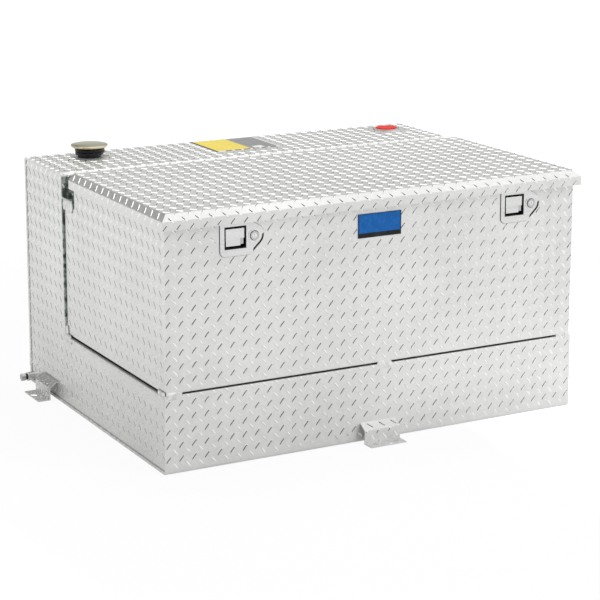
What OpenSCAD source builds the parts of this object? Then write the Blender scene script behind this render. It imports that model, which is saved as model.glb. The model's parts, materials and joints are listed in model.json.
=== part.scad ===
// L-shaped truck bed transfer tank with a lidded tool chest in its notch.
// X runs along the length, Y from front to back, Z up. The origin is the middle of the tank's underside.

/* [Tank] */
// Length of the tank
tank_l = 1200; // [1000:10:1500]
// Depth of the tank, front to back
tank_d = 920; // [850:5:1100]
// Height of the tall section
tank_h = 644; // [580:2:760]
// Height of the low section under the chest
deck_h = 198; // [160:2:240]
// Depth of the tall section
tall_d = 276; // [230:2:330]
// Thickness of the tank's sheet
tank_wall = 3.2; // [2.5:0.1:4]
// Outside radius of the tank's folds
tank_fold_r = 10; // [7:1:16]
// How far the end plates are set in from the wrapper's edge
end_inset = 3; // [2:0.5:6]
// Height of the wrapper's lapped seam on the back
lap_h = 34; // [20:1:60]
// Distance of each baffle from the middle
baffle_x = 200; // [150:5:260]
// Diameter of the large holes in the baffles
baffle_hole_d = 110; // [60:5:130]

/* [Brackets] */
// Length of each mounting bracket along its wall
bracket_l = 104; // [80:2:140]
// Height of a bracket on the wall
bracket_h = 52; // [44:1:70]
// Reach of the bracket's upright from the wall
bracket_out = 24; // [18:1:32]
// Reach of the foot from the wall
foot_out = 57; // [50:1:70]
// Height of the upright's top edge
upright_h = 36; // [26:1:42]
// Distance of the end brackets' middle from the back
bracket_back = 155; // [110:5:260]
// Diameter of the bolt holes
bolt_hole_d = 11; // [8:0.5:13]
// Distance between the two bolt holes of a bracket
bolt_spacing = 60; // [40:2:70]

/* [Ports] */
// Distance of the ports from the back of the tank
port_back = 84; // [70:2:120]
// Distance of the filler from the left end
filler_side = 160; // [110:5:220]
// Diameter of the filler neck
neck_d = 64; // [58:1:72]
// Height of the filler neck above the tank
neck_h = 25; // [22:1:34]
// Diameter of the collar round the neck
collar_d = 80; // [76:1:86]
// Diameter of the filler cap
cap_d = 102; // [96:1:116]
// Distance of the pump port from the right end
pump_side = 85; // [70:5:160]
// Bore of the pump port
pump_bore_d = 56; // [50:1:58]
// Diameter of the pump port's flange
pump_flange_d = 78; // [74:1:90]
// Height of the pump port's flange above the tank
pump_flange_h = 4; // [3:0.5:8]
// Diameter of the drain coupling
drain_d = 24; // [22:1:30]
// Bore of the drain coupling
drain_bore_d = 16; // [13:1:18]
// Length of the drain coupling
drain_l = 22; // [18:1:30]
// Across the flats of the drain plug's head
drain_head_d = 19; // [16:0.5:22]
// Length of the drain plug's head
drain_head_l = 12; // [8:1:16]
// Gap between the drain coupling and the weld bead along the end's lower edge
drain_up = 0.5; // [0.5:0.5:6]
// Height of the cap's side wall
cap_wall_h = 8; // [7:0.5:10]
// Rise of the cap's dome above its side wall
cap_dome_h = 4; // [3:0.5:6]

/* [Tool chest] */
// How far the chest's ends are set in from the tank's ends
chest_inset = 5; // [2:0.5:12]
// Gap between the deck and the chest
chest_gap = 7; // [5:0.5:12]
// Gap between the tall section and the chest
back_gap = 8; // [5:0.5:14]
// Thickness of the chest's sheet
chest_wall = 2; // [1.5:0.1:2.5]
// Outside radius of the chest's folds
chest_fold_r = 4; // [3.5:0.5:7]
// Distance of the hinge wall from the tall section
notch_d = 74; // [64:1:90]
// Height of the hinge recess under the rim
notch_h = 80; // [70:1:100]
// Width of the flange round the rim
rim_w = 18; // [14:1:20]
// Height of the rubber seal on the rim
seal_h = 12; // [10:0.5:16]
// Width of the rubber seal
seal_w = 10; // [8:0.5:12]

/* [Lid] */
// Height of the lid above the tall section
lid_rise = 10; // [6:1:16]
// Thickness of the lid's sheet
lid_wall = 2; // [1.5:0.1:2.5]
// Overhang of the lid past each end of the chest
lid_side = 13; // [10:1:20]
// Overhang of the lid past the front of the chest
lid_front = 18; // [16:1:26]
// Height of the lid's skirt
skirt_h = 23; // [18:1:28]
// Width of the lid's bevel
bevel_in = 16; // [10:1:24]
// Height of the lid's bevel
bevel_h = 16; // [10:1:20]
// Number of stiffening channels under the lid
stiffener_n = 3; // [2:1:5]
// Width of a stiffening channel
stiffener_w = 60; // [50:2:80]
// Depth of a stiffening channel
stiffener_h = 18; // [10:1:22]
// Thickness of the stiffening channels
stiffener_t = 1.5; // [1:0.1:2]

/* [Hinge] */
// Diameter of the hinge knuckles
knuckle_d = 7; // [6.5:0.1:8]
// Diameter of the hinge pin
hinge_pin_d = 4; // [3:0.1:4]
// Thickness of the hinge leaves
leaf_t = 1.5; // [1:0.1:1.8]
// Width of each hinge leaf from the pin
leaf_w = 26; // [20:1:30]
// Number of knuckles on the chest's leaf
knuckle_n = 12; // [6:1:14]
// Depth of the hinge axis under the rim
hinge_drop = 34; // [32:1:38]
// Distance of the hinge's ends from the chest's ends
hinge_inset = 4; // [3:1:18]

/* [Gas struts] */
// Distance of both ball studs from the hinge axis
strut_reach = 180; // [174:1:186]
// Angle between the two ball studs, seen from the hinge, with the lid shut
strut_spread = 75; // [74:1:78]
// Height of the lid's ball studs above the hinge axis
strut_lid_h = 16; // [12:1:18]
// Outside diameter of the strut tube
strut_tube_d = 18; // [16:0.5:20]
// Bore of the strut tube
strut_bore_d = 15; // [13:0.5:15.5]
// Diameter of the strut rod
strut_rod_d = 8; // [6:0.5:9]
// Diameter of the ball studs
ball_d = 10; // [9:0.5:11]
// Distance of the struts' plane from the chest's end wall
strut_in = 33; // [32:1:36]
// Length and height of the bosses that hold the chest's ball studs
boss_w = 24; // [18:1:26]
// Length of the brackets that hold the lid's ball studs
lug_w = 28; // [24:1:34]

/* [Latches] */
// Distance of each latch window's middle from the end of the chest
latch_side = 188; // [150:2:220]
// Depth of the latch window's lower edge under the rim
window_drop = 91; // [90:0.5:98]
// Width of the latch window
window_w = 59; // [56:1:64]
// Height of the latch window
window_h = 56; // [54:1:60]
// Border of the latch plate beside its window
bezel_w = 12; // [9:0.5:14]
// Border of the latch plate under its window
bezel_low = 18; // [12:1:22]
// Width of the rubber trim inside the window
trim_w = 2.5; // [1.5:0.5:3]
// Distance of the lock from the window's middle
lock_x = 51; // [50:1:56]
// Height of the lock above the window's lower edge
lock_h = 29; // [27:1:33]
// Diameter of the lock body
lock_d = 22; // [19:0.5:22]
// Width of the groove round the nose of the latch plate
groove_w = 5; // [3:0.5:6]
// Thickness of the latch plate
bezel_t = 1.6; // [1.2:0.1:2.2]
// Depth of the latch pan behind the plate
pan_depth = 18; // [17.5:0.5:20]
// Diameter of the paddle's pin
paddle_pin_d = 4; // [3:0.1:5]
// Width of the latch bolt
bolt_w = 12; // [10:0.5:14]
// Height of the latch bolt
bolt_h = 14; // [12:0.5:15]
// Reach of the bolt behind the pan
bolt_reach = 20; // [19:0.5:22]
// Distance of the paddle's crossbar under its pin
crossbar_drop = 24; // [22:0.5:26]
// Width of a striker under the lid
striker_w = 50; // [40:2:60]
// Length of a striker's flange
striker_l = 30; // [20:1:34]

/* [Badge and label] */
// Width of the badge on the chest
badge_w = 126; // [80:1:160]
// Height of the badge
badge_h = 62; // [40:1:70]
// Drop of the badge's upper edge under the rim
badge_drop = 41; // [36:1:60]
// Thickness of the badge
badge_t = 1; // [0.6:0.1:2]
// Width of the label on the tank
label_w = 200; // [120:5:240]
// Depth of the label
label_d = 180; // [100:5:200]
// Distance of the label from the back of the tank
label_back = 12; // [11:1:40]
// Thickness of the label
label_t = 0.5; // [0.3:0.1:1]

/* [Fits] */
// Gap between parts that move past each other
gap = 0.3; // [0.2:0.05:0.4]
// Running clearance of a pin in its bore, on the diameter
pin_gap = 0.1; // [0.06:0.02:0.2]

/* [Hidden] */
$fn = 48;

// Faces of the tank
tank_x = tank_l / 2;
front_y = -tank_d / 2;
back_y = tank_d / 2;
tall_y = back_y - tall_d;
deck_fold_r = tank_fold_r - tank_wall;
end_x = tank_x - end_inset - tank_wall;
port_y = back_y - port_back;
filler_x = -tank_x + filler_side;
pump_x = tank_x - pump_side;
neck_t = 4;
filler_seal_t = 2;
drain_y = back_y - tank_wall - end_inset - drain_d / 2 - 3;
drain_z = tank_wall + end_inset + drain_up + drain_d / 2;
bracket_y = back_y - bracket_back;

// Faces of the chest
chest_x = tank_x - chest_inset;
chest_z = deck_h + chest_gap;
lid_z = tank_h + lid_rise;
rim_z = lid_z - lid_wall - seal_h;
chest_back_y = tall_y - back_gap;
hinge_wall_y = tall_y - notch_d;
shelf_z = rim_z - notch_h;

// Faces of the lid
lid_x = chest_x + lid_side;
lid_front_y = front_y - lid_front;
lid_back_y = hinge_wall_y + gap + leaf_t + lid_wall;
bevel_z = lid_z - bevel_h;
skirt_z = bevel_z - skirt_h;
lid_under_z = lid_z - lid_wall;

// Hinge axis
hinge_y = hinge_wall_y + knuckle_d / 2 + gap;
hinge_z = rim_z - hinge_drop;

// Gas strut triangle: both studs are the same distance from the hinge axis,
// so a strut turns by half the lid's angle
lid_stud_a = asin(strut_lid_h / strut_reach);
chest_stud_a = lid_stud_a - strut_spread;
strut_a = (lid_stud_a + chest_stud_a) / 2;
strut_l = 2 * strut_reach * sin(strut_spread / 2);
strut_x = chest_x - strut_in;
chest_stud_y = hinge_y - strut_reach * cos(chest_stud_a);
chest_stud_z = hinge_z + strut_reach * sin(chest_stud_a);
lid_stud_y = hinge_y - strut_reach * cos(lid_stud_a);
lid_stud_z = hinge_z + strut_reach * sin(lid_stud_a);
stud_d = 0.6 * ball_d;
socket_l = 0.8 * ball_d;
foot_l = 1.5 * ball_d;
strut_tube_l = strut_l - 2 * foot_l - 12;
strut_rod_l = strut_l - foot_l - 12;

// Latch levels, measured from the chest's front wall
window_z = rim_z - window_drop;
window_top_z = window_z + window_h;
latch_x = chest_x - latch_side;
gasket_t = 1;
pan_t = 1.5;
plate_front_y = front_y - gasket_t - bezel_t;
pan_back_y = front_y + pan_depth;
pan_x = window_w / 2 + pan_t;
paddle_pin_y = front_y + 6;
paddle_pin_z = window_top_z - trim_w - 8;
paddle_t = 2.5;
paddle_gap = 2;
paddle_y = paddle_pin_y - 6.4;
finger_gap = 7.5;
notch_w = 11;
pull_h = 18;
key_d = 12;
lock_gap = 1.5;
crossbar_y = paddle_pin_y + 6;
crossbar_z = paddle_pin_z - crossbar_drop;
crossbar_d = 4;
guide_l = 5;
striker_t = 3;
striker_y = pan_back_y + guide_l + 4;
bolt_tip_y = pan_back_y + bolt_reach;
lock_z = window_z + lock_h;
label_y = back_y - label_back - label_d / 2;

// Points of an arc from angle a0 to a1
function arc(c, r, a0, a1, n = 5) =
    [for (i = [0:n]) c + r * [cos(a0 + (a1 - a0) * i / n), sin(a0 + (a1 - a0) * i / n)]];

// Side outline of the tank, moved inwards by k
function tank_outline(k) = concat(
    arc([front_y + tank_fold_r, tank_fold_r], tank_fold_r - k, 180, 270),
    arc([back_y - tank_fold_r, tank_fold_r], tank_fold_r - k, 270, 360),
    arc([back_y - tank_fold_r, tank_h - tank_fold_r], tank_fold_r - k, 0, 90),
    arc([tall_y + tank_fold_r, tank_h - tank_fold_r], tank_fold_r - k, 90, 180),
    arc([tall_y - deck_fold_r, deck_h + deck_fold_r], deck_fold_r + k, 0, -90),
    arc([front_y + tank_fold_r, deck_h - tank_fold_r], tank_fold_r - k, 90, 180));

// Side outline of the chest, moved inwards by k, with the step at the back for the hinge
function chest_outline(k) = let (r = chest_fold_r - k, ri = chest_fold_r - chest_wall + k) concat(
    arc([front_y + chest_fold_r, chest_z + chest_fold_r], r, 180, 270),
    arc([chest_back_y - chest_fold_r, chest_z + chest_fold_r], r, 270, 360),
    arc([chest_back_y - chest_fold_r, shelf_z - chest_fold_r], r, 0, 90),
    arc([hinge_wall_y + chest_fold_r - chest_wall, shelf_z + chest_fold_r - chest_wall], ri, 270, 180),
    arc([hinge_wall_y - chest_fold_r, rim_z - chest_fold_r], r, 0, 90),
    arc([front_y + chest_fold_r, rim_z - chest_fold_r], r, 90, 180));

// Outline of a bevelled lid from low edge a to high edge b, w inside its skin
function lid_outline(a, b, w, bevel_b) = let (
    s = w * tan(atan2(bevel_h, bevel_in) / 2),
    q = w * tan((90 - atan2(bevel_h, bevel_in)) / 2)) concat(
    [[a + w, skirt_z - (w > 0 ? 1 : 0)], [a + w, bevel_z - q], [a + bevel_in + s, lid_z - w]],
    bevel_b ? [[b - bevel_in - s, lid_z - w], [b - w, bevel_z - q]] : [[b - w, lid_z - w]],
    [[b - w, skirt_z - (w > 0 ? 1 : 0)]]);

// Extrudes a side outline (Y, Z) along X from x0 to x1
module along_x(x0, x1) {
    translate([x0, 0, 0])
        rotate([90, 0, 90])
            linear_extrude(x1 - x0)
                children();
}

// Extrudes a front outline (X, Z) along Y from y0 to y1
module along_y(y0, y1) {
    translate([0, y1, 0])
        rotate([90, 0, 0])
            linear_extrude(y1 - y0)
                children();
}

// Box from one corner to the other
module block(lo, hi) {
    translate(lo)
        cube(hi - lo);
}

// Rectangle from one corner to the other
module plate(lo, hi) {
    translate(lo)
        square(hi - lo);
}

// Round bar along X, centred on y and z
module bar_x(x0, x1, y, z, d) {
    translate([x0, y, z])
        rotate([0, 90, 0])
            cylinder(h = x1 - x0, d = d);
}

// Round bar along Y, centred on x and z
module bar_y(y0, y1, x, z, d) {
    translate([x, y0, z])
        rotate([-90, 0, 0])
            cylinder(h = y1 - y0, d = d);
}

// Tank: folded wrapper with its lapped seam and the holes for the two ports
module tank_wrapper() {
    color("gainsboro")
    difference() {
        union() {
            along_x(-tank_x, tank_x)
                difference() {
                    polygon(tank_outline(0));
                    polygon(tank_outline(tank_wall));
                }
            block([-tank_x, back_y - tank_wall, tank_fold_r + lap_h],
                  [tank_x, back_y + tank_wall, tank_fold_r + 2 * lap_h]);
        }
        translate([filler_x, port_y, tank_h - 2 * tank_wall])
            cylinder(h = 3 * tank_wall, d = neck_d);
        translate([pump_x, port_y, tank_h - 2 * tank_wall])
            cylinder(h = 3 * tank_wall, d = pump_bore_d + 8);
    }
}

module tank_end(side) {
    color("lightgray")
    difference() {
        along_x(side > 0 ? end_x : -end_x - tank_wall, side > 0 ? end_x + tank_wall : -end_x)
            polygon(tank_outline(tank_wall));
        if (side < 0)
            bar_x(-tank_x - 1, -end_x + 1, drain_y, drain_z, drain_bore_d);
    }
}

// Baffle: fills the section, with large holes and cut corners that let the fuel pass
module tank_baffle(x) {
    hole_y = (tall_y + back_y) / 2;
    color("silver")
    difference() {
        along_x(x - tank_wall / 2, x + tank_wall / 2)
            polygon(tank_outline(tank_wall));
        for (z = [deck_h + 60 : 180 : tank_h - 80])
            bar_x(x - tank_wall, x + tank_wall, hole_y, z, baffle_hole_d);
        for (y = [front_y + 120 : 200 : tall_y])
            bar_x(x - tank_wall, x + tank_wall, y, deck_h / 2, baffle_hole_d);
        for (y = [front_y, back_y])
            bar_x(x - tank_wall, x + tank_wall, y, 0, 80);
        bar_x(x - tank_wall, x + tank_wall, back_y, tank_h, 80);
        bar_x(x - tank_wall, x + tank_wall, front_y, deck_h, 80);
        bar_x(x - tank_wall, x + tank_wall, tall_y, tank_h, 80);
    }
}

// Weld beads that fill the inset round both end plates
module tank_seams() {
    bead = tank_wall + end_inset;
    color("whitesmoke")
        for (side = [-1, 1])
            along_x(side < 0 ? -tank_x : tank_x - end_inset, side < 0 ? -tank_x + end_inset : tank_x)
                difference() {
                    polygon(tank_outline(tank_wall));
                    polygon(tank_outline(bead));
                }
}

// Bracket: one strip folded out from the wall, down and out again as a foot with two bolt holes
module bracket() {
    rise = (bracket_h - upright_h) / bracket_out;
    thick = tank_wall * sqrt(1 + rise * rise);
    inner = bracket_out - tank_wall;
    color("lightgray")
    difference() {
        rotate([90, 0, 0])
            translate([0, 0, -bracket_l / 2])
                linear_extrude(bracket_l)
                    polygon([[0, bracket_h], [bracket_out, upright_h], [bracket_out, tank_wall],
                             [foot_out, tank_wall], [foot_out, 0], [inner, 0],
                             [inner, bracket_h - thick - rise * inner], [0, bracket_h - thick]]);
        for (s = [-1, 1])
            translate([(bracket_out + foot_out) / 2, s * bolt_spacing / 2, -1])
                cylinder(h = tank_wall + 2, d = bolt_hole_d);
    }
}

// The end plates are set in from the wrapper, so a bracket on them has a spacer strip behind its top edge
module bracket_on_end() {
    translate([end_inset, 0, 0])
        bracket();
    color("lightgray")
        block([0, -bracket_l / 2, bracket_h - 2 * tank_wall],
              [end_inset, bracket_l / 2, bracket_h - tank_wall]);
}

module bracket_left() {
    translate([-tank_x + end_inset, bracket_y, 0])
        rotate([0, 0, 180])
            bracket_on_end();
}

module bracket_right() {
    translate([tank_x - end_inset, bracket_y, 0])
        bracket_on_end();
}

module bracket_front() {
    translate([0, front_y, 0])
        rotate([0, 0, -90])
            bracket();
}

// Weld pads between tank and chest: two at the front, and two pairs at the back edges
module chest_welds() {
    end_w = 20;
    color("whitesmoke")
        difference() {
            union() {
                for (s = [-1, 1]) {
                    weld_block(s, 42, [front_y, chest_z - chest_gap - 3], [front_y + 14, chest_z + 3]);
                    weld_block(s, end_w, [chest_back_y - 3, shelf_z - 8], [tall_y, shelf_z + 12]);
                    weld_block(s, end_w, [chest_back_y - 12, deck_h], [tall_y, deck_h + 32]);
                }
            }
            along_x(-tank_l, tank_l)
                polygon(tank_outline(0));
            along_x(-tank_l, tank_l)
                polygon(chest_outline(0));
        }
}

module weld_block(side, width, lo, hi) {
    x0 = side < 0 ? -chest_x : chest_x - width;
    block([x0, lo[0], lo[1]], [x0 + width, hi[0], hi[1]]);
}

// Drain: half coupling welded over a hole in the left end, closed by a plug with a six-sided head
module drain_coupling() {
    color("silver")
    difference() {
        bar_x(-end_x - tank_wall - drain_l, -end_x - tank_wall, drain_y, drain_z, drain_d);
        bar_x(-end_x - tank_wall - drain_l - 1, -end_x, drain_y, drain_z, drain_bore_d);
    }
}

module drain_plug() {
    mouth_x = -end_x - tank_wall - drain_l;
    neck_l = 5;
    color("darkgray") {
        bar_x(mouth_x - neck_l, mouth_x + 14, drain_y, drain_z, drain_bore_d);
        translate([mouth_x - neck_l - drain_head_l, drain_y, drain_z])
            rotate([0, 90, 0])
                cylinder(h = drain_head_l, d = drain_head_d / cos(30), $fn = 6);
    }
}

// Pump port: threaded bung with a flange on top of the sheet, closed by a plastic plug
module pump_bung() {
    color("silver")
    translate([pump_x, port_y, tank_h])
        difference() {
            union() {
                cylinder(h = pump_flange_h, d = pump_flange_d);
                translate([0, 0, -14])
                    cylinder(h = 14, d = pump_bore_d + 8);
            }
            translate([0, 0, -15])
                cylinder(h = pump_flange_h + 16, d = pump_bore_d);
        }
}

module port_plug() {
    color("crimson")
    translate([pump_x, port_y, tank_h + pump_flange_h])
        rotate_extrude()
            polygon([[0, 3], [pump_bore_d / 2 + 2, 3], [pump_bore_d / 2 + 3.5, 1.5],
                     [pump_bore_d / 2 + 3.5, 0], [pump_bore_d / 2, 0], [pump_bore_d / 2, -12],
                     [pump_bore_d / 2 - 2, -12], [pump_bore_d / 2 - 2, 1], [0, 1]]);
}

// Filler: black neck through the tank's top, a wider collar round its mouth, a seal and a domed cap
module filler_neck() {
    color("dimgray")
    translate([filler_x, port_y, tank_h])
        difference() {
            translate([0, 0, -22])
                cylinder(h = neck_h + 22, d = neck_d);
            translate([0, 0, -23])
                cylinder(h = neck_h + 24, d = neck_d - 2 * neck_t);
        }
}

module filler_collar() {
    color("black")
    translate([filler_x, port_y, tank_h + neck_h - 18]) {
        rotate_extrude()
            polygon([[neck_d / 2, 0], [collar_d / 2 - 2, 0], [collar_d / 2 - 1, 1], [collar_d / 2 - 1, 8],
                     [collar_d / 2 - 3, 9], [collar_d / 2 - 3, 10], [collar_d / 2, 11], [collar_d / 2, 16.5],
                     [collar_d / 2 - 1.5, 18], [neck_d / 2, 18]]);
        block([collar_d / 2 - 4, -7, 1.5], [collar_d / 2 + 2.5, 7, 14]);
    }
}

module filler_seal() {
    color("black")
    translate([filler_x, port_y, tank_h + neck_h])
        difference() {
            cylinder(h = filler_seal_t, d = neck_d - 1);
            translate([0, 0, -1])
                cylinder(h = 5, d = neck_d - 2 * neck_t);
        }
}

// Domed pressing with a rolled rim, and an inner cup that drops into the neck
module filler_cap() {
    r = cap_d / 2;
    cup_r = neck_d / 2 - neck_t - 2 * gap;
    color("darkkhaki")
    translate([filler_x, port_y, tank_h + neck_h + filler_seal_t + gap]) {
        rotate_extrude()
            polygon(concat(
                [[0, 0], [r - 5, 0], [r - 0.8, 0.35 * cap_wall_h]],
                arc([r - 2, cap_wall_h - 2], 2, 0, 65, 4),
                [[0.8 * r, cap_wall_h + 0.42 * cap_dome_h], [0.55 * r, cap_wall_h + 0.76 * cap_dome_h],
                 [0.28 * r, cap_wall_h + 0.95 * cap_dome_h], [0, cap_wall_h + cap_dome_h]]));
        translate([0, 0, -14])
            difference() {
                cylinder(h = 15, r = cup_r);
                translate([0, 0, -1])
                    cylinder(h = 14, r = cup_r - 2);
            }
    }
}

module top_label() {
    color("khaki")
        block([-label_w / 2, label_y - label_d / 2, tank_h],
              [label_w / 2, label_y + label_d / 2, tank_h + label_t]);
}

// Chest: one folded sheet with a flange along the front and the hinge wall
module chest_wrapper() {
    color("gainsboro")
    difference() {
        along_x(-chest_x, chest_x)
            difference() {
                polygon(chest_outline(0));
                polygon(chest_outline(chest_wall));
                plate([front_y + rim_w, rim_z - 2 * chest_wall], [hinge_wall_y - rim_w, rim_z + 1]);
            }
        for (x = [-latch_x, latch_x])
            latch_cutout(x);
    }
}

// Hole in the front wall for the latch pan and the lock
module latch_cutout(x) {
    block([x - pan_x - gap, front_y - 1, window_z - pan_t - gap],
          [x + pan_x + gap, front_y + chest_wall + 1, window_top_z + pan_t + gap]);
    bar_y(front_y - 1, front_y + chest_wall + 1, x + lock_x, lock_z, lock_d + 2 * gap);
}

module chest_end(side) {
    x0 = side < 0 ? -chest_x : chest_x - chest_wall;
    f0 = side < 0 ? -chest_x : chest_x - rim_w;
    color("lightgray") {
        along_x(x0, x0 + chest_wall)
            polygon(chest_outline(chest_wall));
        block([f0, front_y + rim_w, rim_z - chest_wall], [f0 + rim_w, hinge_wall_y - rim_w, rim_z]);
        block([x0, front_y + rim_w, rim_z - 2 * chest_wall], [x0 + chest_wall, hinge_wall_y - rim_w, rim_z]);
    }
}

// Rubber seal: a bulb on a narrower foot, running round the rim
module weatherstrip() {
    r = seal_w / 2;
    x1 = chest_x - rim_w / 2;
    y0 = front_y + rim_w / 2;
    y1 = hinge_wall_y - rim_w / 2;
    color("black") {
        for (y = [y0, y1])
            translate([0, y, rim_z])
                along_x(-x1 - r, x1 + r)
                    seal_profile(r);
        for (x = [-x1, x1])
            translate([x, 0, rim_z])
                along_y(y0 - r, y1 + r)
                    seal_profile(r);
    }
}

module seal_profile(r) {
    polygon(concat([[1.2 - r, 0], [r - 1.2, 0]], arc([0, seal_h - gap - r], r, -30, 210, 12)));
}

module badge_plate() {
    top = rim_z - badge_drop;
    color("steelblue")
        block([-badge_w / 2, front_y - badge_t, top - badge_h], [badge_w / 2, front_y, top]);
}

// Hinge: the two leaves share one axis, and their knuckles take turns along it
knuckle_pitch = (2 * chest_x - 2 * hinge_inset) / (2 * knuckle_n - 1);

module knuckles(first) {
    for (i = [first : 2 : 2 * knuckle_n - 2])
        translate([-chest_x + hinge_inset + i * knuckle_pitch + gap, 0, 0])
            children();
}

module hinge_leaf_chest() {
    low = hinge_z - leaf_w;
    color("silver")
    difference() {
        union() {
            block([-chest_x + hinge_inset, hinge_wall_y, low],
                  [chest_x - hinge_inset, hinge_wall_y + leaf_t, hinge_z - knuckle_d / 2 - gap]);
            knuckles(0) {
                bar_x(0, knuckle_pitch - 2 * gap, hinge_y, hinge_z, knuckle_d);
                block([0, hinge_wall_y, hinge_z - knuckle_d / 2 - 1],
                      [knuckle_pitch - 2 * gap, hinge_wall_y + leaf_t, hinge_z]);
            }
        }
        bar_x(-chest_x, chest_x, hinge_y, hinge_z, hinge_pin_d + pin_gap);
    }
}

module hinge_leaf_lid() {
    top = hinge_z + leaf_w;
    y0 = hinge_wall_y + gap;
    color("silver")
    difference() {
        union() {
            block([-chest_x + hinge_inset, y0, hinge_z + knuckle_d / 2 + gap],
                  [chest_x - hinge_inset, y0 + leaf_t, top]);
            knuckles(1) {
                bar_x(0, knuckle_pitch - 2 * gap, hinge_y, hinge_z, knuckle_d);
                block([0, y0, hinge_z], [knuckle_pitch - 2 * gap, y0 + leaf_t, hinge_z + knuckle_d / 2 + 1]);
            }
        }
        bar_x(-chest_x, chest_x, hinge_y, hinge_z, hinge_pin_d + pin_gap);
    }
}

module hinge_pin() {
    color("dimgray")
        bar_x(-chest_x + hinge_inset - 2, chest_x - hinge_inset + 2, hinge_y, hinge_z, hinge_pin_d);
}

// Lid: bevelled at the front and both ends, open underneath, with a plain skirt along the hinge
module lid_shape(w) {
    intersection() {
        along_x(-lid_x - 1, lid_x + 1)
            polygon(lid_outline(lid_front_y, lid_back_y, w, false));
        along_y(lid_front_y - 1, lid_back_y + 1)
            polygon(lid_outline(-lid_x, lid_x, w, true));
    }
}

module lid_skin() {
    color("gainsboro")
    difference() {
        lid_shape(0);
        lid_shape(lid_wall);
    }
}

// Hat channels under the lid: they end behind the strikers,
// and far enough from the hinge to swing over the seal
module lid_stiffeners() {
    seal_reach = norm([hinge_y - hinge_wall_y + rim_w / 2 + seal_w / 2, rim_z + seal_h - hinge_z]) + 2;
    drop = lid_under_z - stiffener_h - hinge_z;
    y0 = striker_y + striker_l + 4;
    y1 = hinge_y - sqrt(seal_reach * seal_reach - drop * drop);
    web = stiffener_w - 24;
    step = 2 * chest_x / (stiffener_n + 1);
    color("silver")
        for (i = [1:stiffener_n])
            translate([-chest_x + i * step, 0, lid_under_z])
                along_y(y0, y1)
                    polygon([[-stiffener_w / 2, 0], [-stiffener_w / 2, -stiffener_t],
                             [-web / 2, -stiffener_t], [-web / 2 + 4, -stiffener_h],
                             [web / 2 - 4, -stiffener_h], [web / 2, -stiffener_t],
                             [stiffener_w / 2, -stiffener_t], [stiffener_w / 2, 0],
                             [web / 2 - stiffener_t, 0],
                             [web / 2 - 4 - stiffener_t, stiffener_t - stiffener_h],
                             [-web / 2 + 4 + stiffener_t, stiffener_t - stiffener_h],
                             [-web / 2 + stiffener_t, 0]]);
}

// Strikers: angles under the lid, each with a window that the latch bolt enters
module strikers() {
    low = crossbar_z - bolt_h / 2 - 9;
    color("silver")
        for (x = [-latch_x, latch_x])
            difference() {
                union() {
                    block([x - striker_w / 2, striker_y, low],
                          [x + striker_w / 2, striker_y + striker_t, lid_under_z]);
                    block([x - striker_w / 2, striker_y, lid_under_z - striker_t],
                          [x + striker_w / 2, striker_y + striker_l, lid_under_z]);
                }
                block([x - bolt_w / 2 - 1, striker_y - 1, crossbar_z - bolt_h / 2 - 1],
                      [x + bolt_w / 2 + 1, striker_y + striker_t + 1, crossbar_z + bolt_h / 2 + 1]);
            }
}

// Ball stud along X: the ball at x, the shank out to the bracket
module ball_stud(x, side, foot_x) {
    translate([x, 0, 0])
        rotate([0, 90, 0])
            sphere(d = ball_d);
    bar_x(side > 0 ? x : -foot_x, side > 0 ? foot_x : x, 0, 0, stud_d);
}

// Box on one side of the middle: side 1 is the right, side -1 its mirror image
module side_block(side, lo, hi) {
    x0 = side < 0 ? -hi[0] : lo[0];
    block([x0, lo[1], lo[2]], [x0 + hi[0] - lo[0], hi[1], hi[2]]);
}

module strut_mounts_chest() {
    wall_x = chest_x - chest_wall;
    boss_x = wall_x - boss_w / 2;
    color("dimgray")
        for (side = [-1, 1])
            translate([0, chest_stud_y, chest_stud_z]) {
                ball_stud(side * strut_x, side, boss_x);
                side_block(side, [wall_x - 3, -0.75 * boss_w, -1.1 * boss_w],
                           [wall_x, 0.75 * boss_w, 1.1 * boss_w]);
                side_block(side, [boss_x, -boss_w / 2, -boss_w / 2], [wall_x, boss_w / 2, boss_w / 2]);
            }
}

module strut_mounts_lid() {
    plate_x = strut_x + socket_l + 4;
    lug_t = 2.5;
    top = lid_under_z - lid_stud_z;
    color("dimgray")
        for (side = [-1, 1])
            translate([0, lid_stud_y, lid_stud_z]) {
                ball_stud(side * strut_x, side, plate_x);
                side_block(side, [plate_x, -lug_w / 2, -12], [plate_x + lug_t, lug_w / 2, top]);
                side_block(side, [plate_x - 24, -lug_w / 2, top - lug_t], [plate_x + lug_t, lug_w / 2, top]);
            }
}

// Socket that snaps over a ball stud, with its mouth towards the stud's shank
module socket(side, tail) {
    difference() {
        union() {
            bar_x(-socket_l, socket_l, 0, 0, 1.5 * ball_d);
            translate([0, 0, tail < 0 ? tail : 0])
                cylinder(h = abs(tail), d = 0.9 * ball_d);
        }
        rotate([0, 90, 0])
            sphere(d = ball_d + 2 * gap);
        bar_x(side > 0 ? 0 : -2 * socket_l, side > 0 ? 2 * socket_l : 0, 0, 0, stud_d + 4 * gap);
    }
}

// Places a strut part with its ball at a stud and its axis along the strut
module on_strut(side, y, z) {
    translate([side * strut_x, y, z])
        rotate([-strut_a, 0, 0])
            children();
}

module strut_tube(side) {
    guide_h = 8;
    color("black")
    on_strut(side, chest_stud_y, chest_stud_z) {
        socket(side, foot_l);
        translate([0, 0, foot_l])
            difference() {
                cylinder(h = strut_tube_l, d = strut_tube_d);
                translate([0, 0, 4])
                    cylinder(h = strut_tube_l - 4 - guide_h, d = strut_bore_d);
                translate([0, 0, strut_tube_l - guide_h - 1])
                    cylinder(h = guide_h + 2, d = strut_rod_d + 2 * gap);
            }
    }
}

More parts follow.
